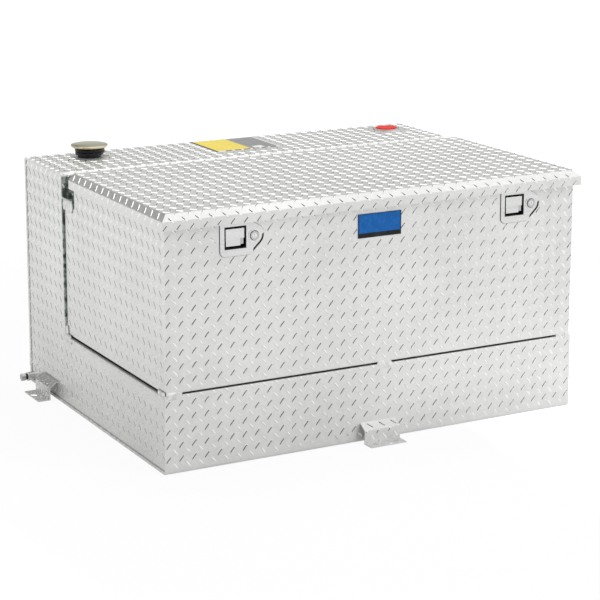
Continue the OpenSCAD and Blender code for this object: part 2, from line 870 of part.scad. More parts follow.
module strut_rod(side) {
    color("silver")
    on_strut(side, lid_stud_y, lid_stud_z) {
        socket(side, -foot_l);
        translate([0, 0, -strut_rod_l]) {
            cylinder(h = strut_rod_l - ball_d, d = strut_rod_d);
            cylinder(h = 8, d = strut_bore_d - 2 * gap);
        }
    }
}

// Latch outline: a plate round the window that runs out into a rounded nose for the lock
nose_r = lock_d / 2 + 17;
corner_r = 14;
small_r = 5;
plate_half = window_w / 2 + bezel_w;

module latch_outline(grow) {
    hull() {
        translate([-plate_half + corner_r, -bezel_low + corner_r])
            circle(corner_r + grow, $fn = 48);
        translate([plate_half + 3 - small_r, -bezel_low + small_r])
            circle(small_r + grow, $fn = 24);
        for (s = [-1, 1])
            translate([s * (plate_half - small_r), window_h + bezel_w - small_r])
                circle(small_r + grow, $fn = 24);
        translate([lock_x, lock_h])
            circle(nose_r + grow, $fn = 48);
    }
}

// Groove along the lower edge of the nose, open to the gasket behind the plate
module nose_groove() {
    low = -46;
    run = 30 * [sin(low), -cos(low)];
    mid = [lock_x, lock_h];
    outer = nose_r - 1.5;
    inner = outer - groove_w;
    polygon(concat(
        arc(mid, outer, 10, low),
        [mid + outer * [cos(low), sin(low)] + run, mid + inner * [cos(low), sin(low)] + 0.8 * run],
        arc(mid, inner, low, 2)));
}

// Dish: face plate, pan behind the window, and a raised ring round the lock
module latch_dish(x) {
    color("lightsteelblue")
    difference() {
        union() {
            translate([x, 0, window_z])
                along_y(plate_front_y, front_y - gasket_t)
                    difference() {
                        latch_outline(0);
                        nose_groove();
                    }
            block([x - pan_x, plate_front_y + bezel_t, window_z - pan_t],
                  [x + pan_x, pan_back_y, window_top_z + pan_t]);
            bar_y(plate_front_y - 1.2, plate_front_y, x + lock_x, lock_z, lock_d + 10);
        }
        block([x - window_w / 2, plate_front_y - 1, window_z],
              [x + window_w / 2, pan_back_y - pan_t, window_top_z]);
        block([x - bolt_w / 2 - 4, pan_back_y - 2 * pan_t, crossbar_z - bolt_h / 2 - 1],
              [x + bolt_w / 2 + 4, pan_back_y + 1, crossbar_z + bolt_h / 2 + 1]);
        bar_y(plate_front_y - 2, front_y, x + lock_x, lock_z, lock_d + 2 * lock_gap);
        bar_x(x - pan_x - 1, x + pan_x + 1, paddle_pin_y, paddle_pin_z, paddle_pin_d);
    }
}

module latch_gasket(x) {
    color("black")
    difference() {
        translate([x, 0, window_z])
            along_y(front_y - gasket_t, front_y)
                latch_outline(0.8);
        block([x - pan_x - gap, front_y - 2, window_z - pan_t - gap],
              [x + pan_x + gap, front_y + 1, window_top_z + pan_t + gap]);
        bar_y(front_y - 2, front_y + 1, x + lock_x, lock_z, lock_d + gap);
    }
}

// Rubber trim that lines the mouth of the window
module latch_trim(x) {
    r = 5;
    color("black")
        translate([x, 0, window_z])
            along_y(plate_front_y - 0.4, plate_front_y + 4)
                difference() {
                    translate([-window_w / 2, 0])
                        square([window_w, window_h]);
                    hull()
                        for (s = [-1, 1])
                            for (z = [trim_w + r, window_h - trim_w - r])
                                translate([s * (window_w / 2 - trim_w - r), z])
                                    circle(r, $fn = 24);
                }
}

// Frame behind the wall that clamps the dish
module latch_clamp(x) {
    y0 = front_y + chest_wall;
    color("silver")
    difference() {
        block([x - pan_x - 8, y0, window_z - pan_t - 8], [x + pan_x + 8, y0 + 2, window_top_z + pan_t + 8]);
        block([x - pan_x, y0 - 1, window_z - pan_t], [x + pan_x, y0 + 3, window_top_z + pan_t]);
        bar_y(y0 - 1, y0 + 3, x + lock_x, lock_z, lock_d + 4);
    }
}

module latch_pin(x) {
    color("dimgray")
        bar_x(x - pan_x, x + pan_x, paddle_pin_y, paddle_pin_z, paddle_pin_d);
}

// Paddle: a lipped plate that hangs from its pin, with a corner cut for the finger, two ears and a crossbar
module latch_paddle(x) {
    half = window_w / 2 - trim_w - paddle_gap;
    low = window_z + finger_gap;
    top = paddle_pin_z + 4.5;
    ear_w = 2.2;
    color("lightsteelblue")
    difference() {
        union() {
            block([x - half, paddle_y, low], [x + half, paddle_y + paddle_t, top]);
            block([x - half, paddle_y - 0.8, low], [x + half, paddle_y, low + 14]);
            block([x - half, paddle_y, low], [x + half, paddle_y + 7, low + 2]);
            for (s = [-1, 1]) {
                block([x + s * (half - 4) - 4, paddle_y, paddle_pin_z - 6],
                      [x + s * (half - 4) + 4, paddle_pin_y, top]);
                bar_x(x + s * (half - 4) - 4, x + s * (half - 4) + 4, paddle_pin_y, paddle_pin_z,
                      paddle_pin_d + 2.4);
                block([x + s * (bolt_w / 2 + 1.5) - ear_w / 2, paddle_y + 1, crossbar_z - 3],
                      [x + s * (bolt_w / 2 + 1.5) + ear_w / 2, crossbar_y + 1, crossbar_z + 3]);
            }
            bar_x(x - bolt_w / 2 - 1.5, x + bolt_w / 2 + 1.5, crossbar_y, crossbar_z, crossbar_d);
        }
        bar_x(x - half - 1, x + half + 1, paddle_pin_y, paddle_pin_z, paddle_pin_d + pin_gap);
        block([x + half - notch_w, paddle_y - 2, low - 1], [x + half + 1, paddle_y + 8, low + pull_h]);
    }
}

// Torsion spring: a close coil round the pin, one leg on the paddle and one on the pan
module latch_spring(x) {
    wire = 1;
    turns = 7;
    pitch = 0.9 * wire;
    ring_r = paddle_pin_d / 2 + 0.35 + wire / 2;
    leg_d = 0.8 * wire;
    color("gray") {
        translate([x - turns * pitch / 2, paddle_pin_y, paddle_pin_z])
            rotate([0, 90, 0])
                rotate_extrude()
                    for (i = [0:turns])
                        translate([ring_r, i * pitch])
                            circle(d = wire, $fn = 16);
        translate([x - turns * pitch / 2, paddle_pin_y - ring_r, paddle_pin_z - 14])
            cylinder(h = 14, d = leg_d, $fn = 16);
        bar_y(paddle_pin_y, pan_back_y - pan_t, x + turns * pitch / 2, paddle_pin_z + ring_r, leg_d);
    }
}

// Bolt: slides in its guide, and its slot is drawn by the paddle's crossbar
module latch_bolt(x) {
    tip = 5;
    slot = crossbar_d + 2 * gap;
    color("silver")
    difference() {
        translate([x - bolt_w / 2, 0, crossbar_z])
            rotate([90, 0, 90])
                linear_extrude(bolt_w)
                    polygon([[crossbar_y - 4.5, -bolt_h / 2], [bolt_tip_y, -bolt_h / 2],
                             [bolt_tip_y, bolt_h / 2 - tip], [bolt_tip_y - tip, bolt_h / 2],
                             [crossbar_y - 4.5, bolt_h / 2]]);
        block([x - bolt_w, crossbar_y - slot / 2, crossbar_z - slot / 2 - 1.5],
              [x + bolt_w, crossbar_y + slot / 2, crossbar_z + slot / 2 + 0.5]);
    }
}

module latch_guide(x) {
    color("gray")
    difference() {
        block([x - bolt_w / 2 - 6, pan_back_y, crossbar_z - bolt_h / 2 - 5],
              [x + bolt_w / 2 + 6, pan_back_y + guide_l, crossbar_z + bolt_h / 2 + 5]);
        block([x - bolt_w / 2 - gap, pan_back_y - 1, crossbar_z - bolt_h / 2 - gap],
              [x + bolt_w / 2 + gap, pan_back_y + guide_l + 1, crossbar_z + bolt_h / 2 + gap]);
    }
}

// Lock: fixed barrel with a turning key plug and its cam
module latch_lock(x) {
    color("silver")
    difference() {
        union() {
            bar_y(plate_front_y - 3, pan_back_y - 1, x + lock_x, lock_z, lock_d);
            bar_y(front_y + chest_wall + 2, front_y + chest_wall + 6, x + lock_x, lock_z, lock_d + 3);
        }
        bar_y(plate_front_y - 4, pan_back_y, x + lock_x, lock_z, key_d + pin_gap);
    }
}

module latch_key_plug(x) {
    color("darkgray")
    difference() {
        union() {
            bar_y(plate_front_y - 3, pan_back_y + 3, x + lock_x, lock_z, key_d);
            block([x + lock_x - 4.5, pan_back_y - 1 + gap, lock_z - 16],
                  [x + lock_x + 4.5, pan_back_y + 2, lock_z]);
        }
        block([x + lock_x - 0.8, plate_front_y - 4, lock_z - 4],
              [x + lock_x + 0.8, plate_front_y + 1, lock_z + 4]);
    }
}

tank_wrapper();
tank_end(-1);  // tank_end_left
tank_end(1);  // tank_end_right
tank_baffle(-baffle_x);  // tank_baffle_left
tank_baffle(baffle_x);  // tank_baffle_right
tank_seams();
bracket_left();
bracket_right();
bracket_front();
chest_welds();
drain_coupling();
drain_plug();
pump_bung();
port_plug();
filler_neck();
filler_collar();
filler_seal();
filler_cap();
top_label();
chest_wrapper();
chest_end(-1);  // chest_end_left
chest_end(1);  // chest_end_right
weatherstrip();
badge_plate();
hinge_leaf_chest();
hinge_pin();
strut_mounts_chest();
lid_skin();
lid_stiffeners();
hinge_leaf_lid();
strikers();
strut_mounts_lid();
strut_tube(-1);  // strut_left_tube
strut_rod(-1);  // strut_left_rod
strut_tube(1);  // strut_right_tube
strut_rod(1);  // strut_right_rod
latch_dish(-latch_x);  // latch_left_dish
latch_gasket(-latch_x);  // latch_left_gasket
latch_clamp(-latch_x);  // latch_left_clamp
latch_trim(-latch_x);  // latch_left_trim
latch_paddle(-latch_x);  // latch_left_paddle
latch_pin(-latch_x);  // latch_left_pin
latch_spring(-latch_x);  // latch_left_spring
latch_bolt(-latch_x);  // latch_left_bolt
latch_guide(-latch_x);  // latch_left_guide
latch_lock(-latch_x);  // latch_left_lock
latch_key_plug(-latch_x);  // latch_left_key_plug
latch_dish(latch_x);  // latch_right_dish
latch_gasket(latch_x);  // latch_right_gasket
latch_clamp(latch_x);  // latch_right_clamp
latch_trim(latch_x);  // latch_right_trim
latch_paddle(latch_x);  // latch_right_paddle
latch_pin(latch_x);  // latch_right_pin
latch_spring(latch_x);  // latch_right_spring
latch_bolt(latch_x);  // latch_right_bolt
latch_guide(latch_x);  // latch_right_guide
latch_lock(latch_x);  // latch_right_lock
latch_key_plug(latch_x);  // latch_right_key_plug
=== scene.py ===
# L-shaped tread-plate transfer tank with a lidded tool chest, in a plain pale studio.
import json
import math
import random

import bpy
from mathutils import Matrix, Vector


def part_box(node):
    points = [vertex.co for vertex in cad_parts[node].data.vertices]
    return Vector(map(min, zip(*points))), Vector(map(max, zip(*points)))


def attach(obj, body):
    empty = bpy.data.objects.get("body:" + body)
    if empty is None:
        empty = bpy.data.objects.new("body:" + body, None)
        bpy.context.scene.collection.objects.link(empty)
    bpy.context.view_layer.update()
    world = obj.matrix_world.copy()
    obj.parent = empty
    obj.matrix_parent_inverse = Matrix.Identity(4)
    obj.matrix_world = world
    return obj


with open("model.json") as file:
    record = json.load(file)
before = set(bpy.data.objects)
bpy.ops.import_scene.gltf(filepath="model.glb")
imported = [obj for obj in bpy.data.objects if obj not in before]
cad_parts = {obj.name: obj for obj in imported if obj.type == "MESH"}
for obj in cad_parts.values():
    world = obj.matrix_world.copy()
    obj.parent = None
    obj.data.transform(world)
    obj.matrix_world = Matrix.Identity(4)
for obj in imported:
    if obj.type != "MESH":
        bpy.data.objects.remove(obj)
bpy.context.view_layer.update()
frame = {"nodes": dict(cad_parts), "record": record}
nodes = frame["nodes"]
scene = bpy.context.scene
scene.view_settings.view_transform = "Standard"
rng = random.Random(7)

MM = 0.001


# ---------- camera ----------
FRAME_PX = 600
FOCAL_PX, RISE_PX = 2010.17, 80
CAMERA_PLACE = (-2.5234, -4.7240, 1.6535)
CAMERA_YAW, CAMERA_PITCH = 28.297, 12.249


def make_camera():
    yaw, pitch = math.radians(CAMERA_YAW), math.radians(CAMERA_PITCH)
    look = Vector((math.sin(yaw) * math.cos(pitch), math.cos(yaw) * math.cos(pitch), -math.sin(pitch)))
    data = bpy.data.cameras.new("camera")
    data.sensor_width = 36
    data.lens = data.sensor_width * FOCAL_PX / FRAME_PX
    data.shift_y = -RISE_PX / FRAME_PX
    data.clip_end = 60
    cam = bpy.data.objects.new("camera", data)
    cam.location = CAMERA_PLACE
    cam.rotation_euler = look.to_track_quat("-Z", "Y").to_euler()
    scene.collection.objects.link(cam)
    scene.camera = cam


make_camera()


# ---------- materials ----------
def link(nt, a, b):
    nt.links.new(a, b)


def clear_tree(owner, output):
    """The node tree of a material or world, with nothing in it but its output node."""
    owner.use_nodes = True
    nt = owner.node_tree
    nt.nodes.clear()
    return nt, nt.nodes.new(output)


def new_material(name):
    m = bpy.data.materials.new(name)
    nt, out = clear_tree(m, "ShaderNodeOutputMaterial")
    bsdf = nt.nodes.new("ShaderNodeBsdfPrincipled")
    link(nt, bsdf.outputs[0], out.inputs[0])
    return m, nt, bsdf


def math_node(nt, op, a, b):
    """Math node on two numbers or sockets."""
    n = nt.nodes.new("ShaderNodeMath")
    n.operation = op
    for k, v in enumerate((a, b)):
        if isinstance(v, (int, float)):
            n.inputs[k].default_value = v
        else:
            link(nt, v, n.inputs[k])
    return n.outputs[0]


def map_range(nt, value, start, end, lo, hi, kind="LINEAR"):
    """Runs from lo to hi while the value goes from start to end."""
    m = nt.nodes.new("ShaderNodeMapRange")
    m.interpolation_type = kind
    for key, v in (("From Min", start), ("From Max", end), ("To Min", lo), ("To Max", hi)):
        m.inputs[key].default_value = v
    link(nt, value, m.inputs["Value"])
    return m.outputs[0]


def smooth_step(nt, value, start, end, to=1.0):
    """Rises softly from 0 while the value goes from start to end."""
    return map_range(nt, value, start, end, 0.0, to, "SMOOTHSTEP")


def object_coords(nt, scale=(1, 1, 1)):
    tc = nt.nodes.new("ShaderNodeTexCoord")
    mp = nt.nodes.new("ShaderNodeMapping")
    mp.inputs["Scale"].default_value = scale
    link(nt, tc.outputs["Object"], mp.inputs["Vector"])
    return mp.outputs["Vector"]


def noise_node(nt, vec, scale, detail=4.0, rough=0.55):
    n = nt.nodes.new("ShaderNodeTexNoise")
    n.inputs["Scale"].default_value = scale
    n.inputs["Detail"].default_value = detail
    n.inputs["Roughness"].default_value = rough
    link(nt, vec, n.inputs["Vector"])
    return n.outputs["Fac"]


def ramp(nt, fac, lo, hi, pos=(0.35, 0.65)):
    r = nt.nodes.new("ShaderNodeValToRGB")
    r.color_ramp.elements[0].position = pos[0]
    r.color_ramp.elements[0].color = (*lo, 1)
    r.color_ramp.elements[1].position = pos[1]
    r.color_ramp.elements[1].color = (*hi, 1)
    link(nt, fac, r.inputs[0])
    return r.outputs[0]


def bump(nt, bsdf, height, strength, distance):
    b = nt.nodes.new("ShaderNodeBump")
    b.inputs["Strength"].default_value = strength
    b.inputs["Distance"].default_value = distance
    link(nt, height, b.inputs["Height"])
    link(nt, b.outputs[0], bsdf.inputs["Normal"])


# The span that noise mostly stays in, and fine ripples of the surface in metres
NOISE_SPAN = (0.3, 0.7)
METAL_RIPPLE, PLASTIC_RIPPLE, WELD_RIPPLE = 0.0004, 0.0003, 0.0012


def metal(name, lo, hi, metallic, rough, scale=(1, 1, 1), grain=60, bump_amount=0.08, patch=5.0):
    """Sheet metal: slow patches of tone, a fine grain in the roughness and a faint surface ripple."""
    m, nt, bsdf = new_material(name)
    vec = object_coords(nt, scale)
    big = noise_node(nt, vec, patch, 3.0)
    small = noise_node(nt, vec, grain, 5.0, 0.65)
    tone = math_node(nt, "ADD", math_node(nt, "MULTIPLY", small, 0.45), math_node(nt, "MULTIPLY", big, 0.55))
    link(nt, ramp(nt, tone, lo, hi), bsdf.inputs["Base Color"])
    link(nt, map_range(nt, small, *NOISE_SPAN, *rough), bsdf.inputs["Roughness"])
    bsdf.inputs["Metallic"].default_value = metallic
    if bump_amount:
        bump(nt, bsdf, noise_node(nt, vec, 900, 3.0), bump_amount, METAL_RIPPLE)
    return m


def dielectric(name, lo, hi, rough, grain=200, bump_amount=0.1, specular=0.5):
    """Plastic, rubber, paint or film: a slight mottle in colour and gloss, and a fine texture."""
    m, nt, bsdf = new_material(name)
    vec = object_coords(nt)
    n = noise_node(nt, vec, grain, 4.0)
    link(nt, ramp(nt, n, lo, hi), bsdf.inputs["Base Color"])
    link(nt, map_range(nt, n, *NOISE_SPAN, *rough), bsdf.inputs["Roughness"])
    bsdf.inputs["Specular IOR Level"].default_value = specular
    bump(nt, bsdf, noise_node(nt, vec, grain * 6, 3.0), bump_amount, PLASTIC_RIPPLE)
    return m


def zone(m, lo, hi, soft, color):
    """Gives the part of a surface inside a box, in metres, another colour, such as painted shade in a recess.

    None leaves a side of the box open, and a pair of colours is mottled."""
    nt = m.node_tree
    bsdf = next(n for n in nt.nodes if n.type == "BSDF_PRINCIPLED")
    base = bsdf.inputs["Base Color"].links[0].from_socket
    tc = nt.nodes.new("ShaderNodeTexCoord")
    sep = nt.nodes.new("ShaderNodeSeparateXYZ")
    link(nt, tc.outputs["Object"], sep.inputs[0])
    factor = None
    for axis in range(3):
        for edge, sign in ((lo[axis], 1), (hi[axis], -1)):
            if edge is None:
                continue
            part = smooth_step(nt, sep.outputs[axis], edge - sign * soft, edge + sign * soft)
            factor = part if factor is None else math_node(nt, "MULTIPLY", factor, part)
    mix = nt.nodes.new("ShaderNodeMix")
    mix.data_type = "RGBA"
    if isinstance(color[0], tuple):
        mottle = noise_node(nt, tc.outputs["Object"], 75, 3.0)
        link(nt, ramp(nt, mottle, *color, pos=(0.42, 0.6)), mix.inputs[7])
    else:
        mix.inputs[7].default_value = (*color, 1)
    link(nt, factor, mix.inputs[0])
    link(nt, base, mix.inputs[6])
    link(nt, mix.outputs[2], bsdf.inputs["Base Color"])


def weld_metal(name):
    """Weld bead: short overlapping ripples, duller than the sheet."""
    m, nt, bsdf = new_material(name)
    vec = object_coords(nt)
    w = nt.nodes.new("ShaderNodeTexVoronoi")
    w.inputs["Scale"].default_value = 260
    link(nt, vec, w.inputs["Vector"])
    n = noise_node(nt, vec, 90, 4.0)
    link(nt, ramp(nt, n, (0.62, 0.62, 0.61), (0.84, 0.84, 0.83)), bsdf.inputs["Base Color"])
    link(nt, map_range(nt, n, *NOISE_SPAN, 0.32, 0.5), bsdf.inputs["Roughness"])
    bsdf.inputs["Metallic"].default_value = 0.75
    bump(nt, bsdf, w.outputs["Distance"], 0.6, WELD_RIPPLE)
    return m


SHEET = dict(lo=(0.68, 0.685, 0.668), hi=(0.775, 0.78, 0.763), metallic=0.62, rough=(0.33, 0.46),
             patch=4.0, bump_amount=0.1)
STAINLESS = dict(lo=(0.66, 0.67, 0.66), hi=(0.78, 0.79, 0.78), metallic=0.9, rough=(0.2, 0.3),
                 scale=(1, 1, 9), grain=120)
STEEL = dict(lo=(0.42, 0.43, 0.43), hi=(0.6, 0.6, 0.59), metallic=0.85, rough=(0.3, 0.42))
FILM = dict(rough=(0.3, 0.4), grain=60, bump_amount=0.04)
# Painted shade: a mottled dark for the hinge recess and a near black for the narrow gaps
RECESS_SHADE, GAP_SHADE = ((0.10, 0.13, 0.115), (0.58, 0.63, 0.60)), (0.03, 0.035, 0.03)

M = {
    "tread": metal("mat_tread_sheet", **SHEET),
    "tread_tank": metal("mat_tread_tank", **SHEET),
    "tread_chest": metal("mat_tread_chest", **SHEET),
    "bars": metal("mat_tread_bars", (0.77, 0.775, 0.757), (0.87, 0.875, 0.857), 1.0, (0.13, 0.22),
                  grain=40, bump_amount=0.0),
    "inner": metal("mat_inner_sheet", (0.58, 0.585, 0.58), (0.7, 0.7, 0.69), 0.7, (0.4, 0.55),
                   scale=(1, 6, 1)),
    "bracket": metal("mat_bracket_sheet", (0.66, 0.66, 0.65), (0.80, 0.80, 0.79), 0.7, (0.3, 0.45),
                     scale=(1, 5, 1)),
    "weld": weld_metal("mat_weld_bead"),
    "fitting": metal("mat_fitting_metal", (0.55, 0.55, 0.54), (0.7, 0.7, 0.69), 0.8, (0.28, 0.4)),
    "steel": metal("mat_zinc_steel", **STEEL),
    "plug": metal("mat_plug_steel", **STEEL),
    "stainless": metal("mat_stainless", **STAINLESS),
    "latch_dish": metal("mat_latch_dish", **STAINLESS),
    "chrome": metal("mat_chrome", (0.74, 0.74, 0.74), (0.82, 0.82, 0.82), 1.0, (0.08, 0.14),
                    bump_amount=0.0),
    "cap": metal("mat_yellow_zinc", (0.56, 0.57, 0.40), (0.66, 0.66, 0.50), 0.85, (0.16, 0.24),
                 grain=25, bump_amount=0.0, patch=14),
    "black_paint": dielectric("mat_black_paint", (0.004, 0.005, 0.005), (0.010, 0.012, 0.011), (0.22, 0.32),
                              specular=0.25),
    "rubber": dielectric("mat_black_rubber", (0.004, 0.004, 0.004), (0.010, 0.010, 0.010), (0.6, 0.75),
                         specular=0.25),
    "red": dielectric("mat_red_plastic", (0.66, 0.015, 0.01), (0.8, 0.03, 0.02), (0.35, 0.45),
                      specular=0.2),
    "yellow_film": dielectric("mat_yellow_film", (0.80, 0.62, 0.05), (0.86, 0.70, 0.09), **FILM),
    "grey_film": dielectric("mat_grey_film", (0.22, 0.22, 0.22), (0.28, 0.28, 0.28), **FILM),
    "white_film": dielectric("mat_white_film", (0.78, 0.78, 0.76), (0.86, 0.86, 0.84), **FILM),
    "black_film": dielectric("mat_black_film", (0.015, 0.015, 0.015), (0.03, 0.03, 0.03),
                             specular=0.1, **FILM),
    "blue_film": dielectric("mat_blue_enamel", (0.002, 0.10, 0.36), (0.006, 0.125, 0.43), (0.22, 0.3),
                            grain=60, bump_amount=0.03, specular=0.2),
}
# Painted shade: a mottled dark in the hinge recess, and a near black in the narrow gaps under and behind the
# chest
zone(M["tread_tank"], (None, 0.181, 0.25), (None, 0.187, 0.634), 0.002, RECESS_SHADE)
zone(M["tread_tank"], (None, -0.448, 0.1970), (None, 0.181, 0.21), 0.001, GAP_SHADE)
zone(M["tread_chest"], (None, 0.1085, 0.558), (None, 0.20, 0.66), 0.001, RECESS_SHADE)
zone(M["tread_chest"], (None, -0.457, 0.19), (None, 0.20, 0.2063), 0.0005, GAP_SHADE)
# Painted shade: the latch pan is near black behind its plate, where it lies in shade
zone(M["latch_dish"], (None, -0.4612, None), (None, -0.40, None), 0.0004, (0.02, 0.02, 0.02))
# Dark thread sealant on the drain plug's neck, between head and coupling
zone(M["plug"], (-0.6243, None, None), (-0.6185, None, None), 0.0004, (0.012, 0.012, 0.012))
# The filler cap is olive on top and tan round its rim
zone(M["cap"], (None, None, 0.60), (None, None, 0.6785), 0.0008, (0.72, 0.60, 0.40))

FINISH = {
    "tread_aluminium": "tread", "end_sheet": "tread", "inner_sheet": "inner", "bracket_sheet": "bracket",
    "weld_metal": "weld", "drain_plug": "steel", "red_plastic": "red", "black_neck": "black_paint",
    "black_rubber": "rubber", "cap_metal": "cap", "label": "white_film", "badge": "blue_film",
    "hinge_steel": "fitting", "bracket_steel": "steel", "strut_black": "black_paint", "strut_rod": "chrome",
    "latch_plate": "stainless", "latch_steel": "steel", "lock_metal": "chrome",
}
SLOT_OF = {s["node"]: s["material_slot"] for s in frame["record"]["subparts"]}
SPECIAL = {
    "drain_coupling": "fitting", "pump_bung": "fitting", "drain_plug": "plug", "tank_wrapper": "tread_tank",
    "chest_wrapper": "tread_chest", "latch_left_dish": "latch_dish", "latch_right_dish": "latch_dish",
    "latch_left_lock": "steel", "latch_right_lock": "steel",
}


def dress_nodes():
    for name, obj in nodes.items():
        key = SPECIAL.get(name, FINISH[SLOT_OF[name]])
        obj.data.materials.clear()
        obj.data.materials.append(M[key])


dress_nodes()


# ---------- mesh helpers ----------
def add_mesh(name, verts, faces, key, body, smooth=False):
    """One piece of one material, on a body; verts are in metres."""
    me = bpy.data.meshes.new(name)
    me.from_pydata([tuple(v) for v in verts], [], faces)
    me.materials.append(M[key])
    if smooth:
        me.polygons.foreach_set("use_smooth", [True] * len(faces))
    me.update()
    ob = bpy.data.objects.new(name, me)
    scene.collection.objects.link(ob)
    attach(ob, body)


def prism(name, profile, place, t0, t1, key, body):
    """Straight strip with the given profile, in mm; place(a, b, t) gives the point."""
    n = len(profile)
    verts = [Vector(place(a, b, t)) * MM for t in (t0, t1) for a, b in profile]
    faces = [(i, (i + 1) % n, n + (i + 1) % n, n + i) for i in range(n)]
    faces += [tuple(range(n))[::-1], tuple(range(n, 2 * n))]
    add_mesh(name, verts, faces, key, body)


def slab(name, lo, hi, key, body):
    """Box from corner to corner, in mm, drawn out along its thinnest side."""
    size = [hi[i] - lo[i] for i in range(3)]
    thin = size.index(min(size))
    a, b = (i for i in range(3) if i != thin)

    def place(p, q, t):
        point = [0, 0, 0]
        point[a], point[b], point[thin] = p, q, t
        return point

    profile = ((lo[a], lo[b]), (hi[a], lo[b]), (hi[a], hi[b]), (lo[a], hi[b]))
    prism(name, profile, place, lo[thin], hi[thin], key, body)


# ---------- sizes of the model in mm ----------
def span(name):
    lo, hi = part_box(name)
    return [round(c * 1000, 2) for c in lo], [round(c * 1000, 2) for c in hi]


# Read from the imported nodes
T_LO, T_HI = span("tank_wrapper")
C_LO, C_HI = span("chest_wrapper")
L_LO, L_HI = span("lid_skin")
TANK_X, FRONT_Y, TANK_Z = T_HI[0], T_LO[1], T_HI[2]
CHEST_X, CHEST_Z, CHEST_BACK, RIM_Z = C_HI[0], C_LO[2], C_HI[1], C_HI[2]
LID_X, LID_Y, LID_BACK, LID_Z, SKIRT_Z = L_HI[0], L_LO[1], L_HI[1], L_HI[2], L_LO[2]
LATCH_LO, LATCH_HI = span("latch_right_trim")
LATCH_X, WINDOW_Z = (LATCH_LO[0] + LATCH_HI[0]) / 2, LATCH_LO[2]

# Known from the model's source: sheet faces, the step for the hinge, the lid's bevel
END_X, BACK_Y, DECK_Z, TALL_Y, FOLD_R = 597.0, 460.0, 198.0, 184.0, 10
SHELF_Z, HINGE_Y = 560.0, 110.0
BEVEL = 16.0
# Outline of a latch plate, from the middle of its window's foot
PLATE = [(-41.5, -18), (44.5, -18), (71, 9), (79, 29), (71, 49), (41.5, 68), (-41.5, 68)]
# A bracket's section, out from its wall and up
BRACKET = [(0, 52), (24, 36), (24, 3.2), (57, 3.2)]

# Boxes that the bars leave clear, as centre and half size on the sheet
FRONT_BRACKET_BOX, END_BRACKET_BOX, DRAIN_BOX = (0, 49, 58, 12), (305, 47, 58, 12), (439, 19, 21, 21)
CAP_BOX, PORT_BOX, DECAL_BOX = (-440, 376, 46, 46), (515, 376, 46, 46), (0, 359, 106, 96)
SEAM_BOX, BADGE_BOX, BOLT_BOX = (0, 61, 600, 26), (0, 568, 68, 36), (30, 82, 15, 15)
LATCH_MARGIN = 5


# ---------- tread bars ----------
BAR_L, BAR_W, BAR_H = 24.0, 5.2, 1.25
BAR_SINK = 0.05
BAR_C, BAR_S = math.cos(math.radians(50)), math.sin(math.radians(50))
LENGTH_SPREAD, HEIGHT_SPREAD = 0.03, 0.06
PITCH, CHEST_PITCH, CHEST_END_PITCH, LID_PITCH = (34.7, 35.4), (34.6, 35.5), (34.7, 35.5), (36.0, 38.1)

# One bar: the outline of its foot, a long low lens, and of the narrow ridge on top
BASE = [(0.5, 0.0), (0.36, 0.38), (0.0, 0.5), (-0.36, 0.38),
        (-0.5, 0.0), (-0.36, -0.38), (0.0, -0.5), (0.36, -0.38)]
TOP = [(0.45, 0.0), (0.33, 0.10), (0.0, 0.13), (-0.33, 0.10),
       (-0.45, 0.0), (-0.33, -0.10), (0.0, -0.13), (0.33, -0.10)]
BAR_FACES = [(i, (i + 1) % 8, 8 + (i + 1) % 8, 8 + i) for i in range(8)]
BAR_FACES += [(8, 9, 15), (9, 10, 14, 15), (10, 11, 13, 14), (11, 12, 13)]


def lattice(u_span, v_span, pitch, origin):
    """Bars of a chequered lattice: (u, v, direction) inside the rectangle."""
    (u0, u1), (v0, v1), (pu, pv), (ou, ov) = u_span, v_span, pitch, origin
    found = []
    for i in range(math.floor((u0 - ou) / pu) - 1, math.ceil((u1 - ou) / pu) + 2):
        for j in range(math.floor((v0 - ov) / pv) - 1, math.ceil((v1 - ov) / pv) + 2):
            for half, turn in ((0.0, 1), (0.5, -1)):
                u, v = ou + (i + half) * pu, ov + (j + half) * pv
                if u0 <= u <= u1 and v0 <= v <= v1:
                    found.append((u, v, turn))
    return found


def clamp(value, lo, hi):
    return min(max(value, lo), hi)


def within(u0, u1, v0, v1):
    """Cuts a bar off at the edges of its sheet."""
    return lambda u, v: (clamp(u, u0, u1), clamp(v, v0, v1))


def near(u, v, box):
    cu, cv, hu, hv = box
    return abs(u - cu) < hu and abs(v - cv) < hv


def on_latch(u, v):
    """Whether a point of the front lies on a latch plate or within the margin of it."""
    for c in (-LATCH_X, LATCH_X):
        x, z = u - c, v - WINDOW_Z
        beyond = max(((x - x0) * (z1 - z0) - (z - z0) * (x1 - x0)) / math.hypot(x1 - x0, z1 - z0)
                     for (x0, z0), (x1, z1) in zip(PLATE, PLATE[1:] + PLATE[:1]))
        if beyond < LATCH_MARGIN:
            return True
    return False


class Field:
    """Collects bars into one mesh."""

    def __init__(self):
        self.verts, self.faces = [], []

    def add(self, bars, place, keep=lambda u, v: True, cut=lambda u, v: (u, v), slope=(BAR_C, BAR_S)):
        """place(u, v, h) gives the point, in mm, h above the sheet."""
        for u, v, turn in bars:
            if not keep(u, v):
                continue
            c, s = slope[0], slope[1] * turn
            base = len(self.verts)
            grow = 1 + rng.uniform(-LENGTH_SPREAD, LENGTH_SPREAD)
            high = BAR_H * (1 + rng.uniform(-HEIGHT_SPREAD, HEIGHT_SPREAD))
            for ring, h in ((BASE, -BAR_SINK), (TOP, high)):
                for a, b in ring:
                    du = a * BAR_L * grow
                    dv = b * BAR_W
                    pu, pv = cut(u + du * c - dv * s, v + du * s + dv * c)
                    self.verts.append(Vector(place(pu, pv, h)) * MM)
            self.faces += [tuple(base + k for k in f) for f in BAR_FACES]

    def make(self, name, body):
        add_mesh(name, self.verts, self.faces, "bars", body)


def flat(origin, eu, ev, en):
    """Maps (u, v, h) onto a plane."""
    o, eu, ev, en = Vector(origin), Vector(eu), Vector(ev), Vector(en)
    return lambda u, v, h: o + eu * u + ev * v + en * h


